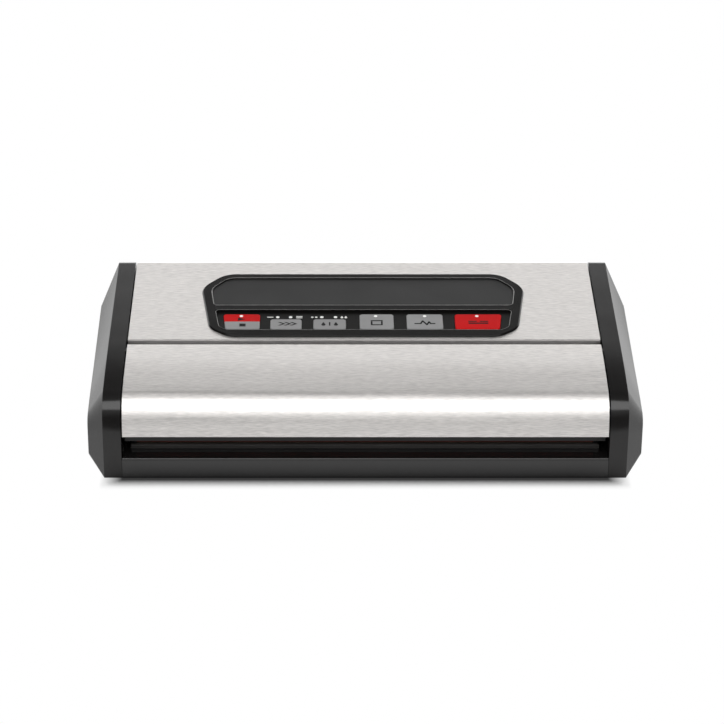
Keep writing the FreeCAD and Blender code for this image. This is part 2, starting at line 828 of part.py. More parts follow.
def make_board():
    body = new_body("control_board")
    block(body, -board_half, board_half, board_low, board_high, board_top - board_gauge, board_top, 2.0)
    for across in board_post_places:
        for along in board_post_rows:
            grow(body, "XY_Plane", board_top, flange_bottom, ring, across, along, 1.5)
    return on_panel(body)


def make_key_switches():
    places = []
    for shape in key_outlines().values():
        places.append(sum(corner[0] for corner in shape) / len(shape))
    switches = []
    for number, across in enumerate(places):
        switch = doc.addObject("Part::Box", "KeySwitch" + str(number))
        switch.Length = switch.Width = switch_side
        switch.Height = switch_top - board_top
        switch_left = across - switch_side / 2
        switch.Placement = FreeCAD.Placement(Vector(switch_left, switch_row, board_top), FreeCAD.Rotation())
        bind(switch, "Height", switch_top - board_top)
        switches.append(switch)
    group = doc.addObject("Part::Compound", "key_switches")
    group.Label = "key_switches"
    group.Links = switches
    tilt(group, panel_y, panel_z, panel_slope)
    subparts.append(group)


bay_floor = floor + wall
motor_radius = 17.0
motor_left = -142.0
pump_y = 36.0
pump_z = bay_floor + 22.0
pump_left = -84.0
pump_right = -38.0
pump_half = 22.0
pump_front = pump_y - pump_half
barb_length = 6.0
hose_radius = 2.8
hose_bend = 9.0


def make_motor():
    body = new_body("pump_motor")
    grow(body, "YZ_Plane", motor_left, pump_left, ring, pump_y, pump_z, motor_radius)
    grow(body, "YZ_Plane", motor_left - 5.0, motor_left, ring, pump_y, pump_z, 6.0)
    break_edges(body, "Chamfer", 2.0, lambda middle: abs(middle.x - motor_left) < 0.01
                and abs(middle.y - pump_y) + abs(middle.z - pump_z) > 10.0)


def make_pump():
    body = new_body("vacuum_pump")
    block(body, pump_left, pump_right, pump_front, pump_y + pump_half, bay_floor, pump_z + 15.0, 5.0)
    grow(body, "XZ_Plane", pump_front - barb_length, pump_front, ring, port_x, pump_z, nozzle_radius)


def hose_path(points, radius):
    """Straight runs between the points, joined by arcs of one radius at the square turns."""
    edges = []
    start = points[0]
    for before, corner, after in zip(points, points[1:], points[2:]):
        arrive = (before - corner).normalize()
        leave = (after - corner).normalize()
        arc_start = corner + arrive * radius
        arc_end = corner + leave * radius
        arc_middle = corner + (arrive + leave) * (radius * (1 - math.sqrt(0.5)))
        edges.append(Part.LineSegment(start, arc_start).toShape())
        edges.append(Part.Arc(arc_start, arc_middle, arc_end).toShape())
        start = arc_end
    edges.append(Part.LineSegment(start, points[-1]).toShape())
    return Part.Wire(edges)


def make_hose():
    """The suction hose: from the port back under the deck and up to the pump's barb."""
    lane_y = cover_front + 12.0
    points = [Vector(port_x, port_y + 5.0, port_height), Vector(port_x, lane_y, port_height),
              Vector(port_x, lane_y, pump_z), Vector(port_x, pump_front - 0.2, pump_z)]
    path = hose_path(points, hose_bend)
    tubes = []
    for radius in (hose_radius, nozzle_radius):
        profile = Part.Wire([Part.Circle(points[0], Vector(0, 1, 0), float(radius)).toShape()])
        tubes.append(path.makePipeShell([profile], True, False))
    hose = doc.addObject("Part::Feature", "suction_hose")
    hose.Label = "suction_hose"
    hose.Shape = tubes[0].cut(tubes[1])
    subparts.append(hose)


supply_bottom = bay_floor + 4.0
supply_top = supply_bottom + board_gauge
supply_posts = ((45.0, 15.0), (145.0, 15.0), (45.0, 77.0), (145.0, 77.0))
core_x = 85.0
core_y = 47.0
core_length = 54.0
core_depth = 46.0
core_top = bay_floor + 44.0
window_width = 9.0
window_offset = 13.5
window_low = bay_floor + 15.0
window_high = bay_floor + 35.0
coil_play = 0.5
coil_overhang = 8.0


def make_transformer():
    core = new_body("transformer_core")
    grow(core, "XY_Plane", supply_top, core_top, outline, centred(core_x, core_y, core_length, core_depth))
    for side in (-1, 1):
        window = centred(core_x + side * window_offset, core_y, window_width, core_depth)
        cut(core, "XY_Plane", window_low, window_high, outline, window)
    coil = new_body("transformer_coil")
    coil_low = window_low + coil_play
    coil_high = window_high - coil_play
    coil_length = (window_offset + window_width / 2 - coil_play) * 2
    limb_length = (window_offset - window_width / 2 + coil_play) * 2
    turns = centred(core_x, core_y, coil_length, core_depth + coil_overhang * 2, 5.0)
    grow(coil, "XY_Plane", coil_low, coil_high, outline, turns)
    limb = centred(core_x, core_y, limb_length, core_depth + coil_play * 2)
    cut(coil, "XY_Plane", coil_low, coil_high, outline, limb)


def make_supply_board():
    body = new_body("supply_board")
    block(body, 40.0, 150.0, 10.0, 82.0, supply_bottom, supply_top, 2.0)
    for across, along in supply_posts:
        grow(body, "XY_Plane", bay_floor, supply_bottom, ring, across, along, 3.0)


def make_lid_switch():
    body = new_body("lid_switch")
    case_left = trough_half + wall + 1.5
    case_width = 8.0
    case_top = bay_floor + 7.0
    block(body, case_left, case_left + case_width, trough_low, trough_low + 15.0, bay_floor, case_top, 1.0)
    grow(body, "XY_Plane", case_top, case_top + 1.4, ring, case_left + case_width / 2, trough_low + 4.0, 1.5)


def make_gland():
    body = new_body("cord_gland")
    block(body, gland_x - gland_half, gland_x + gland_half, rear - wall, rear, gland_bottom, tub_rear_top)
    flange_half = gland_half + gland_flange
    flange_front = rear - wall - gland_flange_gauge
    block(body, gland_x - flange_half, gland_x + flange_half, flange_front, rear - wall,
          gland_bottom - gland_flange, tub_rear_top)
    cut(body, "XZ_Plane", flange_front, rear, ring, gland_x, (gland_bottom + tub_rear_top) / 2, gland_bore)


foot_radius = 8.0
foot_places = [(-138.0, -64.0), (138.0, -64.0), (-138.0, 72.0), (138.0, 72.0)]
screw_places = [(side * boss_x, front + setback) for side in (-1, 1) for setback in boss_setbacks]


def make_discs(label, places, radius, bottom, height):
    """A group of equal round pieces, such as the feet, standing at one level."""
    discs = []
    for number, (across, along) in enumerate(places):
        disc = doc.addObject("Part::Cylinder", label + "_" + str(number + 1))
        disc.Radius = float(radius)
        bind(disc, "Height", height)
        disc.Placement = FreeCAD.Placement(Vector(across, along, bottom), FreeCAD.Rotation())
        discs.append(disc)
    group = doc.addObject("Part::Compound", label)
    group.Label = label
    group.Links = discs
    subparts.append(group)


make_board()
make_key_switches()
make_motor()
make_pump()
make_hose()
make_transformer()
make_supply_board()
make_lid_switch()
make_gland()
make_discs("rubber_feet", foot_places, foot_radius, 0.0, foot_height)
make_discs("base_screws", screw_places, screw_radius, screw_seat - screw_head, screw_head)

# Lid: steel skin, moulded frame, underside pan with its recess, gasket and pressure strip

lid_half = steel_half - 0.7
lid_end_wall = 3.0
lid_wall = 2.4
knuckle_length = 9.0
knuckle_wall = 1.05
strike_recess = 2.0
strike_gauge = 1.0
strike_play = 0.2
hem_clearance = 0.4
box_front = front + 12.0
box_rear = lid_rear - 2.8


def make_lid_steel():
    body = new_body("lid_steel_panel")
    grow(body, "YZ_Plane", -steel_half, steel_half, outline, strip(lid_path, sheet_gauge))


def strike_outline(play):
    return centred(button_y, button_level, plunger_length + plunger_room * 2 - play * 2,
                   plunger_height + plunger_room * 2 - play * 2)


def lid_frame_outline():
    inner = inset(lid_path, sheet_gauge, False)
    frame_hem = hem_height + hem_clearance
    return inner[1:5] + [(inner[4][0], frame_hem), (box_front, frame_hem), (box_front, lid_bottom),
                         (box_rear, lid_bottom), (inner[1][0], lid_bottom + 12.0)]


def make_lid_frame():
    body = new_body("lid_frame")
    outer = lid_frame_outline()
    grow(body, "YZ_Plane", -lid_half, lid_half, outline, outer)
    inner = inset(outer, lid_wall, True)
    below = lid_bottom - 1.0
    opened = inner[:6] + [(inner[6][0], below), (inner[7][0], below)] + inner[8:]
    cut(body, "YZ_Plane", -lid_half + lid_end_wall, lid_half - lid_end_wall, outline, opened)
    for side in (-1, 1):
        low, high = sorted((side * lid_half, side * (lid_half - knuckle_length)))
        grow(body, "YZ_Plane", low, high, ring, hinge_y, hinge_z, pin_radius + knuckle_wall)
        cut(body, "YZ_Plane", low, high, ring, hinge_y, hinge_z, pin_radius + running_gap)
        low, high = sorted((side * lid_half, side * (lid_half - strike_recess)))
        cut(body, "YZ_Plane", low, high, outline, strike_outline(0.0))
    return body


pan_half = lid_half - lid_end_wall - 0.1
pan_front = box_front + lid_wall + 0.1
pan_rear = box_rear - lid_wall - 0.1
pan_thickness = 2.4


def make_lid_pan():
    body = new_body("lid_pan")
    block(body, -pan_half, pan_half, pan_front, pan_rear, lid_bottom, lid_bottom + pan_thickness)
    block(body, -trough_half - 2.0, trough_half + 2.0, trough_low - 2.0, trough_high + 2.0,
          lid_bottom + pan_thickness, lid_recess + 2.0, 7.0)
    hollow(body, -trough_half, trough_half, trough_low, trough_high, lid_bottom, lid_recess, 5.0)
    return body


make_lid_steel()
make_lid_frame()
make_lid_pan()
make_ring_gasket("upper_gasket", gasket_split + 0.3, lid_bottom)
make_strip("pressure_strip", tape_length, 6.0, tape_top + 0.6, lid_bottom)

# Hinge pins, release buttons, their catches and the strike plates in the lid's ends


def make_hinge_pin():
    body = new_body("right_hinge_pin")
    grow(body, "YZ_Plane", lid_half - pin_depth, bay_half + pin_depth, ring, hinge_y, hinge_z, pin_radius)
    return body


def make_release_button():
    body = new_body("right_release_button")
    face = centred(button_y, button_level, button_length, button_height, button_corner)
    grow(body, "YZ_Plane", button_base, half_width, outline, face)
    break_edges(body, "Chamfer", 0.5, lambda middle: abs(middle.x - half_width) < 0.01)
    return body


def make_catch():
    body = new_body("right_latch_catch")
    plate_base = button_base - 4.0
    plate = centred(button_y, button_level, button_length - 4.0, button_height - 3.0)
    grow(body, "YZ_Plane", plate_base, button_base, outline, plate)
    plunger = centred(button_y, button_level, plunger_length, plunger_height)
    grow(body, "YZ_Plane", bay_half + 0.4, plate_base, outline, plunger)
    return body


def make_strike():
    body = new_body("right_lid_strike")
    inner_end = lid_half - strike_recess
    grow(body, "YZ_Plane", inner_end, inner_end + strike_gauge, outline, strike_outline(strike_play))
    return body


for right_piece in (make_hinge_pin(), make_release_button(), make_catch(), make_strike()):
    mirrored(right_piece, right_piece.Label.replace("right", "left"))

# Every piece has to be sound before anything is written

doc.recompute()
for item in doc.Objects:
    if "Invalid" in item.State or "Error" in item.State:
        raise ValueError(item.Label + " failed: " + str(item.State))
for piece in subparts:
    if piece.Shape.isNull() or not piece.Shape.isValid():
        raise ValueError(piece.Label + " has no sound shape")

os.makedirs("parts", exist_ok=True)
for piece in subparts:
    piece.Shape.exportStep("parts/" + piece.Label + ".step")
    box = piece.Shape.BoundBox
    print(piece.Label, len(piece.Shape.Solids), "solids", round(piece.Shape.Volume), "mm3",
          "x %.1f %.1f y %.1f %.1f z %.1f %.1f" % (box.XMin, box.XMax, box.YMin, box.YMax, box.ZMin, box.ZMax))
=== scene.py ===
# %% [markdown]
# # A table-top vacuum sealer
# The appliance is a long low box: two glossy black end cheeks, a brushed-steel lid that
# opens over the bag mouth, and a sloping steel panel behind it with a row of press keys.
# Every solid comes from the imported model, so this lesson adds what a solid cannot carry:
# the finish of each surface, the soft edges that catch light, the small printed signs, and
# the camera, the table and the light.

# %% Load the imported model
import json
import math

import bmesh
import bpy
from mathutils import Matrix, Vector


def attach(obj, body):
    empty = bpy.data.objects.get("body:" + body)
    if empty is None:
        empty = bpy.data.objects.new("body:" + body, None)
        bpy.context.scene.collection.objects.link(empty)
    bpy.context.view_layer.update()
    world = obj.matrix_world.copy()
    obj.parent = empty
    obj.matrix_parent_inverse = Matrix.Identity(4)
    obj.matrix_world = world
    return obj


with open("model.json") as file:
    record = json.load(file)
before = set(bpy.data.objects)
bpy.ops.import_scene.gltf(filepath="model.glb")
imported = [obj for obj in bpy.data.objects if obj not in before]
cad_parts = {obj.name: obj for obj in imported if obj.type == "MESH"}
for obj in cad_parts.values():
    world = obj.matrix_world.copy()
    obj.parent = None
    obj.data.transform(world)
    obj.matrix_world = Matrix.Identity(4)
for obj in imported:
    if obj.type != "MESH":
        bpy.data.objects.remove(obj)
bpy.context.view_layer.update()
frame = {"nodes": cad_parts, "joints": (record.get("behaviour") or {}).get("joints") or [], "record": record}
nodes = frame["nodes"]
scene = bpy.context.scene
scene.view_settings.view_transform = "Standard"
MM = 0.001
MICRON = 0.000001

# %% [markdown]
# ## The camera
# The appliance is seen from the front with a long lens, looking down at about 24 degrees.
# A camera could be placed by eye, but these values were fitted to the straight edges. Those
# stay level across the picture, so the camera has no roll and no turn to the side. The
# optical axis lies a little left of the picture's middle, which a small sideways lens shift
# gives without tilting the edges.

# %% Camera
picture_width = 724
picture_middle = 0.5
focal_pixels = 2463.0
axis_column = 321.3
level_view = math.radians(90.0)
camera_pitch = math.radians(24.35)
camera_place = Vector((-30.0, -1593.9, 769.6)) * MM

camera_data = bpy.data.cameras.new("camera")
camera_data.sensor_width = 36.0
camera_data.lens = camera_data.sensor_width * focal_pixels / picture_width
camera_data.shift_x = picture_middle - axis_column / picture_width
camera = bpy.data.objects.new("camera", camera_data)
camera.location = camera_place
camera.rotation_euler = (level_view - camera_pitch, 0.0, 0.0)
scene.collection.objects.link(camera)
scene.camera = camera
print("lens", round(camera_data.lens, 1), "mm, shift", round(camera_data.shift_x, 3))

# %% [markdown]
# ## Helpers for materials
# A finish is a node tree. It could be clicked together in the shader editor, but about thirty
# finishes share the same few moves, so small helpers keep the trees short to read: one makes
# a material and hands back its shader, one adds a node and plugs in its inputs, and the rest
# do one sum or one texture each.


# %% Materials and nodes
def new_finish(name, colour, roughness, metallic=0.0, specular=0.5):
    """A material with its own shader; constant values sit on the shader's sockets."""
    material = bpy.data.materials.new(name)
    material.use_nodes = True
    shader = material.node_tree.nodes["Principled BSDF"]
    shader.inputs["Base Color"].default_value = (*colour, 1.0)
    shader.inputs["Roughness"].default_value = roughness
    shader.inputs["Metallic"].default_value = metallic
    shader.inputs["Specular IOR Level"].default_value = specular
    return material, shader


def plug(tree, value, socket):
    """Link another node's output to a socket, or set the socket to a plain value."""
    if isinstance(value, bpy.types.NodeSocket):
        tree.links.new(value, socket)
    else:
        socket.default_value = value


def add_node(tree, kind, **inputs):
    """A node whose inputs are set to plain values or linked to another node's output."""
    node = tree.nodes.new(kind)
    for name, value in inputs.items():
        plug(tree, value, node.inputs[name])
    return node


# %% Sums on numbers and colours
def worked_out(tree, operation, first, second=0.0):
    """One sum on one or two numbers."""
    node = add_node(tree, "ShaderNodeMath")
    node.operation = operation
    plug(tree, first, node.inputs[0])
    plug(tree, second, node.inputs[1])
    return node.outputs["Value"]


def ranged(tree, source, before, after):
    """A number carried from one range to another, and held at its ends."""
    node = add_node(tree, "ShaderNodeMapRange", Value=source)
    node.inputs["From Min"].default_value, node.inputs["From Max"].default_value = before
    node.inputs["To Min"].default_value, node.inputs["To Max"].default_value = after
    return node.outputs["Result"]


def mixed(tree, blend, first, second):
    """Two colours mixed in full: MULTIPLY darkens, LIGHTEN keeps the lighter one."""
    mix = add_node(tree, "ShaderNodeMix", Factor=1.0)
    mix.data_type = "RGBA"
    mix.blend_type = blend
    tree.links.new(first, mix.inputs["A"])
    tree.links.new(second, mix.inputs["B"])
    return mix.outputs["Result"]


def grey_steps(tree, source, steps):
    """A ramp of greys; each step is a place from 0 to 1 and a level."""
    ramp = add_node(tree, "ShaderNodeValToRGB", Fac=source)
    elements = ramp.color_ramp.elements
    while len(elements) < len(steps):
        elements.new(0.5)
    for element, (place, level) in zip(elements, steps):
        element.position = place
        element.color = (level, level, level, 1.0)
    return ramp.outputs["Color"]


def shade(colour, factor):
    """A colour made darker or lighter, with its opacity."""
    return (*(channel * factor for channel in colour), 1.0)


# %% Grain, gaps and relief
noise_span = (0.3, 0.7)
gap_samples = 8


def grain(tree, stretch, detail=2.0):
    """Noise in metres of the object's own space; stretch gives the grains per metre."""
    place = add_node(tree, "ShaderNodeTexCoord").outputs["Object"]
    scaled = add_node(tree, "ShaderNodeMapping", Vector=place, Scale=stretch).outputs["Vector"]
    return add_node(tree, "ShaderNodeTexNoise", Vector=scaled, Scale=1.0, Detail=detail).outputs["Fac"]


def tint(tree, source, colour, factors):
    """Two shades of one colour, mixed by a noise, which stays mostly inside its span."""
    ramp = add_node(tree, "ShaderNodeValToRGB", Fac=source)
    for element, place, factor in zip(ramp.color_ramp.elements, noise_span, factors):
        element.position = place
        element.color = shade(colour, factor)
    return ramp.outputs["Color"]


def uneven(tree, source, value, factors):
    """A number that a noise moves between two multiples of its value."""
    return ranged(tree, source, noise_span, (value * factors[0], value * factors[1]))


def painted_gap_shade(tree, distance, steps):
    """Painted shade: greys that darken where other surfaces stand within a distance, as in gaps."""
    near = add_node(tree, "ShaderNodeAmbientOcclusion", Distance=distance)
    near.samples = gap_samples
    return grey_steps(tree, near.outputs["AO"], steps)


def along_depth(tree, places, values):
    """A number that changes between two places on the depth axis, front first."""
    place = add_node(tree, "ShaderNodeTexCoord").outputs["Object"]
    depth = add_node(tree, "ShaderNodeSeparateXYZ", Vector=place).outputs["Y"]
    return ranged(tree, depth, places, values)


def bumped(tree, shader, source, height):
    """Raise the look of the surface by a texture; height is in metres."""
    bump = add_node(tree, "ShaderNodeBump", Height=source, Strength=1.0, Distance=height)
    tree.links.new(bump.outputs["Normal"], shader.inputs["Normal"])


# %% [markdown]
# ## Brushed steel
# The lid and the rear panel are thin stainless sheet, brushed along the length of the
# appliance. A brush leaves fine scratches that are long in one direction and hair-thin in
# the other. A picture of scratches could be laid over the sheet, but a stretched noise has
# no seams: few grains per metre along X, thousands across it. The scratches change the
# roughness and the tone, and a faint ripple breaks the mirror. Light also spreads more
# across the scratches than along them, which the shader calls anisotropic: its tangent runs
# around X, so the blur goes up and down the lid. The colour also carries painted shade where
# another surface stands close, as in gaps. Two places differ: the lip that turns down into
# the seam is given a darker tone, a painted shade standing for the shadow in the seam, and
# the bend over the nose is a little rougher, which softens its highlight.

# %% Brushed steel
brushed_share = 0.75
hair_grains = (170.0, 2600.0, 2600.0)
hair_shades = (0.82, 1.14)
band_grains = (9.0, 700.0, 700.0)
band_roughness = (0.92, 1.08)
ripple_grains = (260.0, 900.0, 900.0)
ripple_detail = 3.0
ripple_height = 60 * MICRON
gap_shade_reach = 6 * MM
gap_shade_steps = [(0.35, 0.2), (0.85, 1.0)]
painted_seam_shade = 0.26
bend_roughness = 1.15


def brushed_steel(name, colour, roughness, lip=None, bend=None):
    """Brushed metal; a lip is the pair of depths over which a painted seam shade fades out, and a bend the
    pair over which extra roughness fades out.
    """
    material, shader = new_finish(name, colour, roughness, metallic=1.0)
    shader.inputs["Anisotropic"].default_value = brushed_share
    tree = material.node_tree
    around = add_node(tree, "ShaderNodeTangent")
    around.direction_type = "RADIAL"
    around.axis = "X"
    tree.links.new(around.outputs["Tangent"], shader.inputs["Tangent"])
    tone = tint(tree, grain(tree, hair_grains), colour, hair_shades)
    # Painted shade: the steel's colour darkens where another surface stands close, as in the seam and along
    # the hems.
    tone = mixed(tree, "MULTIPLY", tone, painted_gap_shade(tree, gap_shade_reach, gap_shade_steps))
    if lip:
        # Painted shade: the lip that turns down into the seam is darkened, standing for the shadow in the
        # seam.
        tone = mixed(tree, "MULTIPLY", tone, along_depth(tree, lip, (painted_seam_shade, 1.0)))
    tree.links.new(tone, shader.inputs["Base Color"])
    rough = uneven(tree, grain(tree, band_grains), roughness, band_roughness)
    if bend:
        rough = worked_out(tree, "MULTIPLY", rough, along_depth(tree, bend, (bend_roughness, 1.0)))
    tree.links.new(rough, shader.inputs["Roughness"])
    bumped(tree, shader, grain(tree, ripple_grains, ripple_detail), ripple_height)
    return material


# %% [markdown]
# ## Black plastics and rubber
# The cheeks and the key bezel are polished mouldings: nearly black, with a smooth skin that
# shows the lights. The tub and the covers have a satin texture, which blurs what they show,
# and the gaskets are foam with open pores. A picture of each texture would do, but a noise
# has no seams and any scale, so all of them come from one function: the roughness, and the
# size and the height of the grain, make the difference.

# %% Moulded plastic
cloud_grains = (35.0, 35.0, 35.0)
cloud_detail = 3.0
cloud_shades = (0.9, 1.1)
cloud_roughness = (0.9, 1.12)


def moulded(name, colour, roughness, grains, height, specular=0.5):
    """A moulded skin; grains per metre and their height in microns set its texture."""
    material, shader = new_finish(name, colour, roughness, specular=specular)
    tree = material.node_tree
    cloud = grain(tree, cloud_grains, cloud_detail)
    tone = tint(tree, cloud, colour, cloud_shades)
    tree.links.new(tone, shader.inputs["Base Color"])
    rough = uneven(tree, cloud, roughness, cloud_roughness)
    tree.links.new(rough, shader.inputs["Roughness"])
    bumped(tree, shader, grain(tree, (grains, grains, grains)), height * MICRON)
    return material


# %% [markdown]
# ## Tape and sheets
# The heater carries a woven non-stick tape, and the transformer core is a stack of thin
# sheets. Both could be modelled thread by thread and sheet by sheet, but they are small and
# mostly hidden, so a texture is enough: a weave is a fine chequer that also raises the
# surface, and a stack is a noise that changes almost only along one axis.

# %% Woven tape
weave_scale = 1400.0
weave_shades = (0.8, 1.15)
weave_roughness = 0.55
weave_height = 30 * MICRON


def woven_tape(name, colour):
    """A weave of two shades, raised by a few hundredths of a millimetre."""
    material, shader = new_finish(name, colour, weave_roughness)
    tree = material.node_tree
    place = add_node(tree, "ShaderNodeTexCoord").outputs["Object"]
    dark, light = (shade(colour, factor) for factor in weave_shades)
    weave = add_node(tree, "ShaderNodeTexChecker", Vector=place, Scale=weave_scale)
    plug(tree, dark, weave.inputs["Color1"])
    plug(tree, light, weave.inputs["Color2"])
    tree.links.new(weave.outputs["Color"], shader.inputs["Base Color"])
    bumped(tree, shader, weave.outputs["Fac"], weave_height)
    return material


# %% Stacked sheets of the transformer core
sheet_grains = (2.0, 1800.0, 2.0)
sheet_shades = (0.6, 1.3)
sheet_roughness = 0.5
sheet_metal = 0.6
sheet_height = 80 * MICRON


def stacked_sheets(name, colour):
    """Thin sheets seen on their edges."""
    material, shader = new_finish(name, colour, sheet_roughness, metallic=sheet_metal)
    tree = material.node_tree
    layers = grain(tree, sheet_grains, 0.0)
    tone = tint(tree, layers, colour, sheet_shades)
    tree.links.new(tone, shader.inputs["Base Color"])
    bumped(tree, shader, layers, sheet_height)
    return material


# %% [markdown]
# ## One finish for every slot
# The record names a material slot for every solid. Each slot gets its finish here, and the
# finish goes on the solid's own mesh, whose shape stays as it is. The finishes could be made
# one by one, but a table is easier to compare. A plastic's row holds its name, colour,
# roughness, grains per metre, grain height in microns and, where it isn't the usual half,
# its specular level.

# %% The plastics by slot
near_black = (0.010, 0.0094, 0.0092)
plain_black = (0.022, 0.022, 0.022)
plastics = {
    "cheek_gloss": ("gloss_black_cheek", near_black, 0.16, 900.0, 4, 0.38),
    "button_gloss": ("gloss_black_button", near_black, 0.14, 900.0, 4, 0.38),
    "bezel_gloss": ("gloss_black_bezel", (0.004, 0.0037, 0.0036), 0.18, 1200.0, 4, 0.09),
    "body_black": ("satin_black_body", (0.006, 0.0056, 0.0055), 0.22, 2600.0, 6, 0.7),
    "cover_black": ("satin_black_cover", (0.014, 0.0132, 0.013), 0.40, 2600.0, 20),
    "pad_grey": ("matt_grey_pad", (0.021, 0.021, 0.021), 0.55, 3200.0, 30, 0.12),
    "key_black": ("key_strip_black", (0.005, 0.0048, 0.0045), 0.38, 2400.0, 10, 0.04),
    "key_grey": ("key_grey", (0.23, 0.23, 0.231), 0.5, 2600.0, 15, 0.12),
    "key_red": ("key_red", (0.46, 0.004, 0.005), 0.5, 2600.0, 15, 0.03),
    "lamp_white": ("lamp_white", (0.86, 0.86, 0.84), 0.25, 1500.0, 4),
    "gasket_rubber": ("gasket_foam", (0.020, 0.020, 0.022), 0.85, 1800.0, 120, 0.2),
    "feet_rubber": ("feet_rubber", (0.018, 0.018, 0.018), 0.8, 1500.0, 60, 0.25),
    "seal_bar_plastic": ("seal_bar_black", (0.05, 0.048, 0.046), 0.3, 2600.0, 10),
    "silicone_red": ("pressure_strip_silicone", (0.22, 0.035, 0.028), 0.65, 1500.0, 40),
    "fitting_black": ("fitting_black", plain_black, 0.5, 2600.0, 30),
    "switch_black": ("switch_black", plain_black, 0.5, 2600.0, 30),
    "board_green": ("board_green", (0.012, 0.11, 0.035), 0.35, 800.0, 10),
    "pump_grey": ("pump_grey", (0.26, 0.26, 0.27), 0.45, 2600.0, 30),
    "hose_clear": ("hose_silicone", (0.55, 0.55, 0.50), 0.4, 900.0, 10),
    "coil_tape": ("coil_tape", (0.62, 0.44, 0.06), 0.4, 600.0, 30),
    "catch_grey": ("catch_grey", (0.14, 0.14, 0.14), 0.5, 2600.0, 30),
}
finishes = {slot: moulded(*row) for slot, row in plastics.items()}
print(len(finishes), "plastics and rubbers")

# %% The metals and the rest by slot
nose_bend = (-0.086, -0.076)
seam_lip = (-0.0181, -0.0174)
finishes.update({
    "steel": brushed_steel("brushed_steel", (0.82, 0.795, 0.773), 0.37, bend=nose_bend),
    "heater_metal": brushed_steel("heater_metal", (0.52, 0.50, 0.48), 0.35),
    "pin_steel": brushed_steel("pin_steel", (0.60, 0.60, 0.60), 0.28),
    "motor_zinc": brushed_steel("motor_zinc", (0.58, 0.58, 0.60), 0.38),
    "tape_brown": woven_tape("heater_tape_weave", (0.11, 0.085, 0.06)),
    "core_steel": stacked_sheets("core_sheets", (0.14, 0.14, 0.15)),
})
# Painted shade: the rear panel's steel is a darker copy of the lid's steel.
shaded_rear_sheet = brushed_steel("brushed_steel_rear_shaded", (0.73, 0.707, 0.688), 0.38, lip=seam_lip)

for subpart in frame["record"]["subparts"]:
    mesh = nodes[subpart["node"]].data
    mesh.materials.clear()
    mesh.materials.append(finishes[subpart["material_slot"]])
nodes["rear_steel_panel"].data.materials[0] = shaded_rear_sheet

# %% [markdown]
# ## Soft edges
# No moulding or bent sheet has a perfectly sharp edge, and the thin bright line along an
# edge is what makes a black part readable. The rounding could be cut in the solid, but a
# bevel modifier leaves the solid as it is: weld first, so that the triangles know their
# neighbours, then bevel only where two faces meet at a real angle, then let the big faces
# rule the normals.

# %% Edge rounding
weld_distance = 2 * MICRON
bevel_steps = 3
sharpest_smooth_angle = math.radians(28.0)
edge_rounding = {
    "right_cheek": 0.7, "left_cheek": 0.7, "base_tub": 0.4, "chamber_deck": 0.3, "rear_cover": 0.5,
    "lid_frame": 0.4, "lid_pan": 0.4, "lid_steel_panel": 0.18, "rear_steel_panel": 0.18,
    "panel_pad": 0.2, "key_deck": 0.15, "seal_bar": 0.2, "cord_gland": 0.5, "rubber_feet": 0.6,
    "right_release_button": 0.2, "left_release_button": 0.2, "lower_gasket": 0.8, "upper_gasket": 0.8,
}


def soften(solid, width):
    """Shade a solid smoothly and round its edges by a width in millimetres."""
    for polygon in solid.data.polygons:
        polygon.use_smooth = True
    weld = solid.modifiers.new("weld", "WELD")
    weld.merge_threshold = weld_distance
    bevel = solid.modifiers.new("bevel", "BEVEL")
    bevel.width = width * MM
    bevel.segments = bevel_steps
    bevel.limit_method = "ANGLE"
    bevel.angle_limit = sharpest_smooth_angle
    bevel.use_clamp_overlap = True
    bevel.harden_normals = True
    normals = solid.modifiers.new("normals", "WEIGHTED_NORMAL")
    normals.keep_sharp = True


for name, width in edge_rounding.items():
    soften(nodes[name], width)
print(len(edge_rounding), "solids have rounded edges")

# %% [markdown]
# ## The key panel's own frame
# The keys lie on a sloping panel. Each sign could be turned to that slope by hand, but it is
# easier to draw in the panel's own flat frame: X to the right, Y up the slope and Z off the
# panel. One matrix carries points from there to the appliance. Its slope can be read from
# the key travel, which is square to the panel.

# %% Panel frame
key_press = next(joint for joint in frame["joints"] if joint["name"] == "start_press")
panel_up = -Vector(key_press["axis"])
panel_along = Vector((0.0, panel_up.z, -panel_up.y))
panel_turn = Matrix((Vector((1.0, 0.0, 0.0)), panel_along, panel_up)).transposed()
panel_start = Vector((0.0, -18.0, 72.558)) * MM
on_panel = Matrix.Translation(panel_start) @ panel_turn.to_4x4()
print("panel slope", round(math.degrees(math.atan2(panel_along.z, panel_along.y)), 2), "degrees")


# %% A piece on the panel
def place_on_panel(name, shape, finish, body):
    """Turn a shape in the panel's frame into a piece that rides on a body."""
    bmesh.ops.recalc_face_normals(shape, faces=shape.faces[:])
    shape.transform(on_panel)
    mesh = bpy.data.meshes.new(name)
    shape.to_mesh(mesh)
    shape.free()
    mesh.materials.append(finish)
    piece = bpy.data.objects.new(name, mesh)
    scene.collection.objects.link(piece)
    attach(piece, body)


# %% [markdown]
# ## Printed ink
# The keys and the strip above them are printed in black and white. A print could be a
# picture laid over the key, but a thin skin of ink stays sharp from any distance: it is a
# flat outline, pushed out by a few hundredths of a millimetre.

# %% Inks
ink_grains = (2500.0, 2500.0, 2500.0)
ink_shades = (0.85, 1.15)
ink_roughness = 0.6
ink_specular = 0.08


def ink(name, colour):
    """Matt ink with a slightly uneven tone."""
    material, shader = new_finish(name, colour, ink_roughness, specular=ink_specular)
    tree = material.node_tree
    tone = tint(tree, grain(tree, ink_grains), colour, ink_shades)
    tree.links.new(tone, shader.inputs["Base Color"])
    return material


# The black ink prints the signs, and also serves as painted shade on the bar between the windows.
black_ink_and_shade = ink("black_ink_and_shade", (0.006, 0.006, 0.006))
ink_white = ink("ink_white", (0.70, 0.70, 0.68))

# %% A printed skin
ink_lift = 0.02
ink_height = 0.04


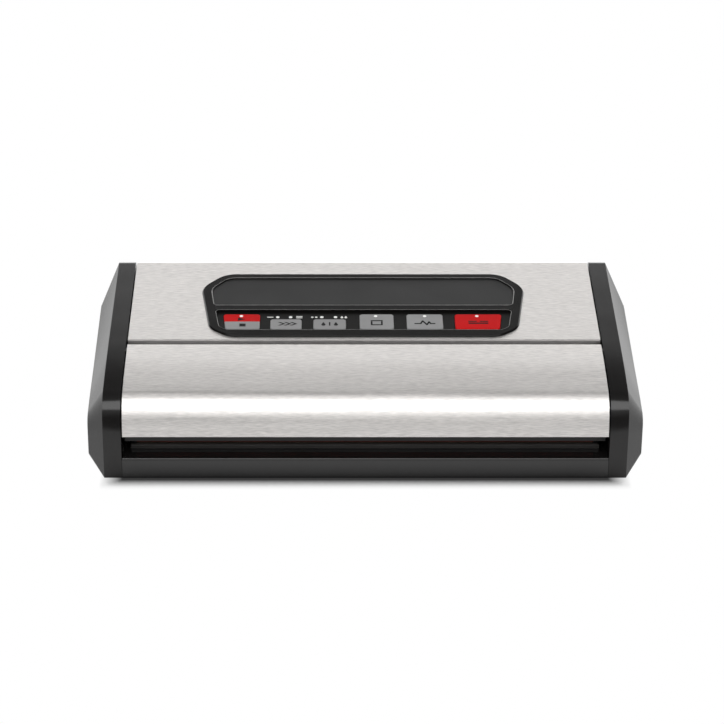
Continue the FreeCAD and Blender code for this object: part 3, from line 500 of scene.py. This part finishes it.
def print_skin(name, outlines, centre, top, finish, body):
    """A skin made of closed outlines in millimetres, lying on the panel at a height."""
    shape = bmesh.new()
    for points in outlines:
        corners = []
        for x, y in points:
            corner = Vector((centre[0] + x, centre[1] + y, top + ink_lift)) * MM
            corners.append(shape.verts.new(corner))
        face = shape.faces.new(corners)
        face.normal_update()
        if face.normal.z < 0:
            face.normal_flip()
        raised = bmesh.ops.extrude_face_region(shape, geom=[face])
        moved = [item for item in raised["geom"] if isinstance(item, bmesh.types.BMVert)]
        bmesh.ops.translate(shape, verts=moved, vec=(0.0, 0.0, ink_height * MM))
    place_on_panel(name, shape, finish, body)


# %% Outlines for signs
disc_steps = 24
drop_steps = 18
drop_arc = (135.0, 405.0)
drop_tip = 2.3
stroke_overlap = 0.6


def bar(x, y, width, height):
    """A rectangle about its middle."""
    return [(x - width / 2, y - height / 2), (x + width / 2, y - height / 2),
            (x + width / 2, y + height / 2), (x - width / 2, y + height / 2)]


def arc(x, y, radius, first, last, steps):
    """Points on an arc between two angles in degrees."""
    turns = [math.radians(first + (last - first) * step / steps) for step in range(steps + 1)]
    return [(x + radius * math.cos(turn), y + radius * math.sin(turn)) for turn in turns]


def disc(x, y, radius):
    """A full circle."""
    return arc(x, y, radius, 0.0, 360.0, disc_steps)[:-1]


def drop(x, y, radius):
    """A water drop: three quarters of a circle below a point."""
    return arc(x, y, radius, *drop_arc, drop_steps) + [(x, y + radius * drop_tip)]


def chevron(x):
    """An arrow head that points right."""
    return [(x, -2.2), (x + 3.6, 0.0), (x, 2.2), (x - 2.0, 2.2), (x + 1.6, 0.0), (x - 2.0, -2.2)]


def stroke(points, width):
    """A line of even width through the points: one bar for each straight piece."""
    bars = []
    for start, end in zip(points, points[1:]):
        along = (Vector(end) - Vector(start)).normalized() * width / 2
        across = Vector((-along.y, along.x))
        first = Vector(start) - along * stroke_overlap
        last = Vector(end) + along * stroke_overlap
        corners = (first - across, last - across, last + across, first + across)
        bars.append([tuple(corner) for corner in corners])
    return bars


# %% [markdown]
# ## Signs on the keys
# Each key has a plain sign: a triangle for start, a square for stop, arrows for speed, drops
# for moist or dry food, a jar, a pulse wave and a seal line. Beside the lamps on the strip
# there are a few small white marks. They could be one mesh, but a key's sign rides on its
# key, so that it travels with it.

# %% Signs on keys
key_skin = 1.5
jar_sign = [bar(0.0, 2.5, 8.4, 1.3), bar(-3.6, -0.9, 1.2, 5.0), bar(3.6, -0.9, 1.2, 5.0),
            bar(0.0, -2.9, 6.2, 1.2)]
pulse_line = [(-7.0, -1.3), (-3.0, -1.3), (-1.5, 2.2), (1.4, -2.8), (3.0, 1.0), (4.0, -1.3), (7.0, -1.3)]
seal_sign = [bar(0.0, -0.4, 14.0, 1.6), bar(-4.0, 2.0, 6.0, 1.2), bar(4.0, 2.0, 6.0, 1.2)]
food_sign = [drop(-4.4, -0.6, 1.5), bar(0.0, 0.3, 1.0, 4.6), drop(4.4, -0.6, 1.5)]
key_signs = [
    ("sign_start", [[(-2.4, -2.1), (2.8, 0.0), (-2.4, 2.1)]], (-86.6, 26.1), "start_key"),
    ("sign_stop", [bar(0.0, 0.0, 4.4, 3.8)], (-85.6, 18.4), "start_key"),
    ("sign_speed", [chevron(x) for x in (-4.0, 0.2, 4.4)], (-54.9, 20.0), "speed_key"),
    ("sign_food", food_sign, (-24.1, 19.6), "food_key"),
    ("sign_container", jar_sign, (9.2, 21.6), "container_key"),
    ("sign_pulse", stroke(pulse_line, 1.3), (43.2, 21.6), "pulse_key"),
    ("sign_seal", seal_sign, (81.0, 21.2), "seal_key"),
]
for name, outlines, centre, body in key_signs:
    print_skin(name, outlines, centre, key_skin, black_ink_and_shade, body)
print(len(key_signs), "signs on the keys")

# %% Marks on the strip
strip_skin = 0.6
lamp_row = 30.1
strip_marks = [
    ("mark_speed_slow", [bar(0.0, 0.0, 4.4, 0.9)], -66.2),
    ("mark_speed_fast", [bar(0.0, 0.9, 4.4, 0.9), bar(0.0, -0.9, 4.4, 0.9)], -45.6),
    ("mark_food_dry", [disc(-1.6, 0.0, 0.9), disc(1.2, 0.0, 0.9)], -34.8),
    ("mark_food_moist", [drop(-1.2, -0.5, 1.0), drop(1.6, -0.5, 1.0)], -14.2),
]
for name, outlines, across in strip_marks:
    print_skin(name, outlines, (across, lamp_row), strip_skin, ink_white, "base")
print(len(strip_marks), "marks on the strip")

# %% [markdown]
# ## Thin lines round the windows
# A thin bright line runs round the pad and round the key strip, as on a rim that catches the
# light. A bead of dark metal stands in for it. A bead could be a curve with a round bevel;
# here it is a mesh ring, so that its eight sides are placed in the panel's frame at once.
# The narrow bar between the two windows lies in shade and looks darker than the rest of the
# bezel; a matt black skin paints that shade on.


# %% Rounded outlines and rings
def rounded(corners, steps=8):
    """A closed outline with its corners rounded; each corner is x, y and a radius."""
    points = []
    for number, (x, y, radius) in enumerate(corners):
        here = Vector((x, y))
        back = (Vector(corners[number - 1][:2]) - here).normalized()
        ahead = (Vector(corners[(number + 1) % len(corners)][:2]) - here).normalized()
        half = back.angle(ahead) / 2
        centre = here + (back + ahead).normalized() * radius / math.sin(half)
        first = here + back * radius / math.tan(half) - centre
        last = here + ahead * radius / math.tan(half) - centre
        # A signed angle counts clockwise, and a rotation the other way.
        turn = -first.angle_signed(last)
        for step in range(steps + 1):
            points.append(centre + Matrix.Rotation(turn * step / steps, 2) @ first)
    return points


def bead(name, corners, height, radius, finish, sides=8):
    """A closed ring of round section along an outline on the panel."""
    points = rounded(corners)
    shape = bmesh.new()
    rings = []
    for number, point in enumerate(points):
        along = (points[(number + 1) % len(points)] - points[number - 1]).normalized()
        outward = Vector((along.y, -along.x))
        ring = []
        for side in range(sides):
            turn = 2 * math.pi * side / sides
            flat = point + outward * radius * math.cos(turn)
            corner = Vector((flat.x, flat.y, height + radius * math.sin(turn))) * MM
            ring.append(shape.verts.new(corner))
        rings.append(ring)
    for number, ring in enumerate(rings):
        after = rings[(number + 1) % len(rings)]
        for side in range(sides):
            other = (side + 1) % sides
            face = shape.faces.new((ring[side], ring[other], after[other], after[side]))
            face.smooth = True
    place_on_panel(name, shape, finish, "base")


# %% Beads and the bar
bezel_skin = 2.0
bead_sink = 0.05
pad_bead_radius = 0.32
key_bead_radius = 0.192
pad_rim = [(109.3, 67.0, 14.0), (97.0, 81.4, 12.0), (-97.0, 81.4, 12.0), (-109.3, 67.0, 14.0),
           (-106.6, 44.0, 3.0), (106.6, 44.0, 3.0)]
key_rim = [(105.6, 38.0, 3.0), (-105.6, 38.0, 3.0), (-102.2, 15.4, 6.0), (-97.0, 11.6, 6.0),
           (97.0, 11.6, 6.0), (102.2, 15.4, 6.0)]
bar_outline = [(-105.4, 38.3), (105.4, 38.3), (106.0, 43.5), (-106.0, 43.5)]
polished = brushed_steel("polished_bead", (0.16, 0.158, 0.155), 0.3)
bead("pad_bead", pad_rim, bezel_skin - bead_sink, pad_bead_radius, polished)
bead("key_bead", key_rim, bezel_skin - bead_sink, key_bead_radius, polished)
# Painted shade: a matt black skin darkens the bar between the windows.
print_skin("bezel_bar_painted_shade", [bar_outline], (0.0, 0.0), bezel_skin, black_ink_and_shade, "base")
print("beads of radius", pad_bead_radius, "and", key_bead_radius, "mm")

# %% [markdown]
# ## The paper table
# The appliance stands on white paper. The camera sees pure white, apart from a thin contact
# shadow along the base. A lamp could cast that shadow, but it is easier to tune by itself: an
# ambient-occlusion node darkens each point of the paper that has the base close above it,
# and a mask takes the shadow away at the outer ends of the cheeks. For everything but the
# camera, such as the mirror-like cheeks, the paper also carries a painted shade in a wider
# strip round the base, and it turns dark past the table's front edge, about a hand's width in
# front of the appliance. So a leaning glossy face reflects the dark and an upright one the
# white paper.

# %% Paper sheet
white = (1.0, 1.0, 1.0)
paper_roughness = 0.9
paper_reach = 14.0
paper_corners = [(x * paper_reach, y * paper_reach, 0.0) for x, y in ((-1, -1), (1, -1), (1, 1), (-1, 1))]
floor_mesh = bpy.data.meshes.new("paper_floor")
floor_mesh.from_pydata(paper_corners, [], [(0, 1, 2, 3)])
floor = bpy.data.objects.new("paper_floor", floor_mesh)
scene.collection.objects.link(floor)
paper, paper_shader = new_finish("white_paper", white, paper_roughness, specular=0.0)
floor_mesh.materials.append(paper)
print("paper", 2 * paper_reach, "m square")

# %% Where the paper is dark
table_edge = -0.197
edge_blend = 0.012
cheek_inside = 0.166
cheek_outside = 0.182
contact_reach = 0.014
contact_steps = [(0.30, 0.04), (0.55, 0.16), (0.76, 0.6), (0.94, 1.0)]
under_shade_reach = 0.045
under_shade_steps = [(0.50, 0.02), (0.97, 1.0)]
table_steps = [(0.0, 0.03), (1.0, 1.0)]
end_steps = [(0.0, 0.0), (1.0, 1.0)]

tree = paper.node_tree
place = add_node(tree, "ShaderNodeNewGeometry").outputs["Position"]
place_parts = add_node(tree, "ShaderNodeSeparateXYZ", Vector=place).outputs
sideways = worked_out(tree, "ABSOLUTE", place_parts["X"])
past_ends = ranged(tree, sideways, (cheek_inside, cheek_outside), (0.0, 1.0))
open_ends = grey_steps(tree, past_ends, end_steps)
on_table = ranged(tree, place_parts["Y"], (table_edge - edge_blend, table_edge + edge_blend), (0.0, 1.0))
table = grey_steps(tree, on_table, table_steps)
contact = mixed(tree, "LIGHTEN", painted_gap_shade(tree, contact_reach, contact_steps), open_ends)
# Painted shade: for everything but the camera, the paper darkens in a wider strip round the base.
painted_shade_under_base = mixed(tree, "LIGHTEN", painted_gap_shade(tree, under_shade_reach, under_shade_steps), open_ends)
shaded_table = mixed(tree, "MULTIPLY", table, painted_shade_under_base)
print("table edge at", table_edge, "m")

# %% What each ray sees of the paper
rays = add_node(tree, "ShaderNodeLightPath").outputs
seen_table = mixed(tree, "LIGHTEN", shaded_table, rays["Is Camera Ray"])
seen_white_and_shade = mixed(tree, "MULTIPLY", contact, seen_table)
seen = worked_out(tree, "MAXIMUM", rays["Is Camera Ray"], rays["Is Glossy Ray"])
seen = worked_out(tree, "MAXIMUM", seen, rays["Is Transmission Ray"])
glow = add_node(tree, "ShaderNodeEmission", Color=seen_white_and_shade, Strength=1.0)
paper_choice = add_node(tree, "ShaderNodeMixShader", Fac=seen)
tree.links.new(shaded_table, paper_shader.inputs["Base Color"])
tree.links.new(paper_shader.outputs["BSDF"], paper_choice.inputs[1])
tree.links.new(glow.outputs["Emission"], paper_choice.inputs[2])
tree.links.new(paper_choice.outputs["Shader"], tree.nodes["Material Output"].inputs["Surface"])
print("paper has", len(tree.nodes), "nodes")

# %% [markdown]
# ## The light tent
# Steel shows its surroundings, so the tent matters more than the lamp. A picture of a studio
# could light the scene, but a ramp is easier to tune: the angle from the front horizon over
# the top to the rear horizon picks the brightness. Behind the appliance the tent is
# brightest, from the horizon up to a third of the way to the top. Overhead it is dark, and
# in front it is dim, lightest a little below half way up. The camera sees plain white
# in its place.

# %% Light tent
half_turn = 180.0
tent_steps = [(0.0, 0.08), (10.0, 0.20), (22.0, 0.45), (38.0, 0.75), (66.0, 0.5), (75.0, 0.2),
              (100.0, 0.10), (132.0, 0.10), (138.0, 0.33), (143.0, 1.3), (149.0, 3.5), (180.0, 3.5)]
world = bpy.data.worlds.new("light_tent")
world.use_nodes = True
scene.world = world
tree = world.node_tree
tent = tree.nodes["Background"]
direction = add_node(tree, "ShaderNodeTexCoord").outputs["Generated"]
parts = add_node(tree, "ShaderNodeSeparateXYZ", Vector=direction).outputs
forward = worked_out(tree, "MULTIPLY", parts["Y"], -1.0)
angle = worked_out(tree, "ARCTAN2", parts["Z"], forward)
share = ranged(tree, angle, (0.0, math.pi), (0.0, 1.0))
sky = grey_steps(tree, share, [(degrees / half_turn, level) for degrees, level in tent_steps])
tree.links.new(sky, tent.inputs["Color"])
print("tent of", len(tent_steps), "steps")

# %% White for the camera
to_camera = add_node(tree, "ShaderNodeLightPath").outputs["Is Camera Ray"]
backdrop = add_node(tree, "ShaderNodeBackground", Color=(*white, 1.0), Strength=1.0)
world_choice = add_node(tree, "ShaderNodeMixShader", Fac=to_camera)
tree.links.new(tent.outputs["Background"], world_choice.inputs[1])
tree.links.new(backdrop.outputs["Background"], world_choice.inputs[2])
tree.links.new(world_choice.outputs["Shader"], tree.nodes["World Output"].inputs["Surface"])
print("world has", len(tree.nodes), "nodes")

# %% [markdown]
# ## The soft box
# One wide soft box hangs in front of the appliance, 50 degrees up. Its reflection is the
# white band along the nose of the lid. A point lamp would give only a dot there; a wide area
# lamp gives a band as long as the lid.

# %% Soft box
box_distance = 1.25
box_elevation = math.radians(50.0)
box_width = 1.9
box_height = 0.80
box_radiance = 3.2
box_target = Vector((0.0, -0.06, 0.05))
lamp_data = bpy.data.lights.new("soft_box", "AREA")
lamp_data.shape = "RECTANGLE"
lamp_data.size = box_width
lamp_data.size_y = box_height
lamp_data.energy = box_radiance * math.pi * box_width * box_height
lamp = bpy.data.objects.new("soft_box", lamp_data)
away = Vector((0.0, -math.cos(box_elevation), math.sin(box_elevation)))
lamp.location = box_target + away * box_distance
lamp.rotation_euler = away.to_track_quat("Z", "Y").to_euler()
lamp.visible_camera = False
scene.collection.objects.link(lamp)
print("soft box", round(lamp_data.energy, 2), "W at", [round(value, 2) for value in lamp.location])
